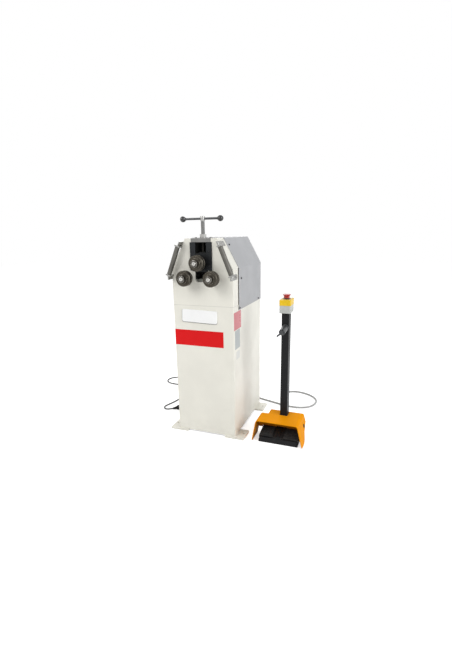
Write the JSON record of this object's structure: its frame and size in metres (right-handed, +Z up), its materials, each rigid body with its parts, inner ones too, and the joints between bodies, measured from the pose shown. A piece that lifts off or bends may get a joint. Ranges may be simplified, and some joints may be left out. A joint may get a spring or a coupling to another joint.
{
  "type": "ring roller",
  "caption": "Electric ring roller on a sheet-metal column: two driven lower rolls, an upper roll on a screw slide, side guide rollers, foot pedals under a hood and a stop button on a pole.",
  "frame": {"origin": "centre of the column's anchor holes, on the floor", "axes": "+Z up, front (rolls) towards -Y, +X to the operator's right, where the pedal station stands"},
  "size_m": [1.3341, 0.9779, 1.354],
  "materials": {
    "cream_paint": "satin powder coat",
    "grey_paint": "satin paint",
    "dark_paint": "satin paint",
    "black_steel": "blackened",
    "plate_steel": "ground plate",
    "ground_steel": "turned and ground",
    "bearing_steel": "polished",
    "roll_steel": "hardened, oily",
    "nut_steel": "turned",
    "black_knob": "glossy",
    "black_plastic": "matte",
    "pedal_coat": "textured",
    "orange_paint": "gloss paint",
    "box_grey": "moulded",
    "box_yellow": "moulded",
    "button_red": "glossy",
    "stem_plastic": "moulded",
    "lead_sheath": "matte",
    "cable_sheath": "matte"
  },
  "bodies": {
    "machine": {"column": "cream_paint", "foot_plates": "cream_paint", "rear_panel": "cream_paint", "head_frame": "cream_paint", "rear_bearing_plate": "plate_steel", "top_hood": "grey_paint", "keeper_plates": "black_steel", "spindle_bridge": "ground_steel", "nut_washer": "ground_steel", "spindle_nut": "ground_steel", "slot_stop_bar": "plate_steel", "rear_keepers": "black_steel", "slide_gibs": "black_steel", "lower_bearings": "bearing_steel", "guide_brackets": "plate_steel", "guide_axles": "ground_steel", "gearbox_plate": "plate_steel", "gearbox": "dark_paint", "drive_motor": "dark_paint", "control_box": "dark_paint", "pedal_base": "black_plastic", "pedal_pivot_pin": "ground_steel", "pedal_hood": "orange_paint", "pole_cover": "orange_paint", "pole": "pedal_coat", "estop_box_base": "box_grey", "estop_box_lid": "box_yellow", "selector_body": "black_plastic", "cable_glands": "black_plastic", "mains_plug": "black_plastic", "mains_lead": "lead_sheath", "control_cable": "cable_sheath"},
    "slide": {"slide_block": "black_steel", "upper_bearings": "bearing_steel", "spindle_keeper": "black_steel"},
    "screw": {"spindle": "ground_steel"},
    "tommy": {"tommy_bar": "ground_steel", "ball_knobs": "black_knob"},
    "upper_roll": {"upper_shaft": "roll_steel", "upper_rear_disc": "roll_steel", "upper_front_disc": "roll_steel", "upper_roll_nut": "nut_steel"},
    "left_roll": {"left_shaft": "roll_steel", "left_rear_disc": "roll_steel", "left_front_disc": "roll_steel", "left_roll_nut": "nut_steel", "left_shaft_gear": "ground_steel"},
    "right_roll": {"right_shaft": "roll_steel", "right_rear_disc": "roll_steel", "right_front_disc": "roll_steel", "right_roll_nut": "nut_steel", "right_shaft_gear": "ground_steel"},
    "pinion": {"drive_pinion": "ground_steel"},
    "left_guide": {"left_guide_roller": "ground_steel"},
    "right_guide": {"right_guide_roller": "ground_steel"},
    "left_treadle": {"left_pedal": "pedal_coat"},
    "right_treadle": {"right_pedal": "pedal_coat"},
    "stop_button": {"estop_stem": "stem_plastic", "estop_cap": "button_red"},
    "selector": {"selector_handle": "black_plastic"}
  },
  "joints": [
    {"name": "upper_slide", "type": "slide", "parent": "machine", "child": "slide", "axis": [0, 0, 1], "range_m": [-0.0445, 0.0565]},
    {"name": "spindle_turn", "type": "hinge", "parent": "slide", "child": "screw", "pos_m": [0, -0.24, 1.143], "axis": [0, 0, 1], "range_deg": [-3204, 4068]},
    {"name": "tommy_bar_slide", "type": "slide", "parent": "screw", "child": "tommy", "axis": [1, 0, 0], "range_m": [-0.0785, 0.0935]},
    {"name": "upper_roll_spin", "type": "hinge", "parent": "slide", "child": "upper_roll", "pos_m": [0, -0.327, 1.091], "axis": [0, 1, 0], "continuous": true},
    {"name": "left_roll_spin", "type": "hinge", "parent": "machine", "child": "left_roll", "pos_m": [-0.084, -0.277, 1.0035], "axis": [0, 1, 0], "continuous": true},
    {"name": "right_roll_spin", "type": "hinge", "parent": "machine", "child": "right_roll", "pos_m": [0.084, -0.277, 1.0035], "axis": [0, 1, 0], "continuous": true},
    {"name": "pinion_spin", "type": "hinge", "parent": "machine", "child": "pinion", "pos_m": [0, -0.077, 0.95371], "axis": [0, 1, 0], "continuous": true},
    {"name": "left_guide_spin", "type": "hinge", "parent": "machine", "child": "left_guide", "pos_m": [-0.1645, -0.309, 1.1025], "axis": [0.3724, 0, 0.9281], "continuous": true},
    {"name": "right_guide_spin", "type": "hinge", "parent": "machine", "child": "right_guide", "pos_m": [0.1645, -0.309, 1.1025], "axis": [-0.3724, 0, 0.9281], "continuous": true},
    {"name": "left_pedal_press", "type": "hinge", "parent": "machine", "child": "left_treadle", "pos_m": [0.3885, -0.239, 0.027], "axis": [-1, 0, 0], "range_deg": [0, 8], "stiffness_Nm_per_rad": 6, "springref_deg": -20.05},
    {"name": "right_pedal_press", "type": "hinge", "parent": "machine", "child": "right_treadle", "pos_m": [0.5375, -0.239, 0.027], "axis": [-1, 0, 0], "range_deg": [0, 8], "stiffness_Nm_per_rad": 6, "springref_deg": -20.05},
    {"name": "stop_button_press", "type": "slide", "parent": "machine", "child": "stop_button", "axis": [0, 0, -1], "range_m": [0, 0.005]},
    {"name": "selector_turn", "type": "hinge", "parent": "machine", "child": "selector", "pos_m": [0.4705, -0.1457, 0.704], "axis": [0, -0.9945, -0.1045], "range_deg": [0, 90]}
  ],
  "couplings": [
    {"joint": "upper_slide", "follows": "spindle_turn", "m_per_rad": 0.0007957},
    {"joint": "right_roll_spin", "follows": "left_roll_spin", "ratio": 1},
    {"joint": "pinion_spin", "follows": "left_roll_spin", "ratio": -2.25}
  ]
}
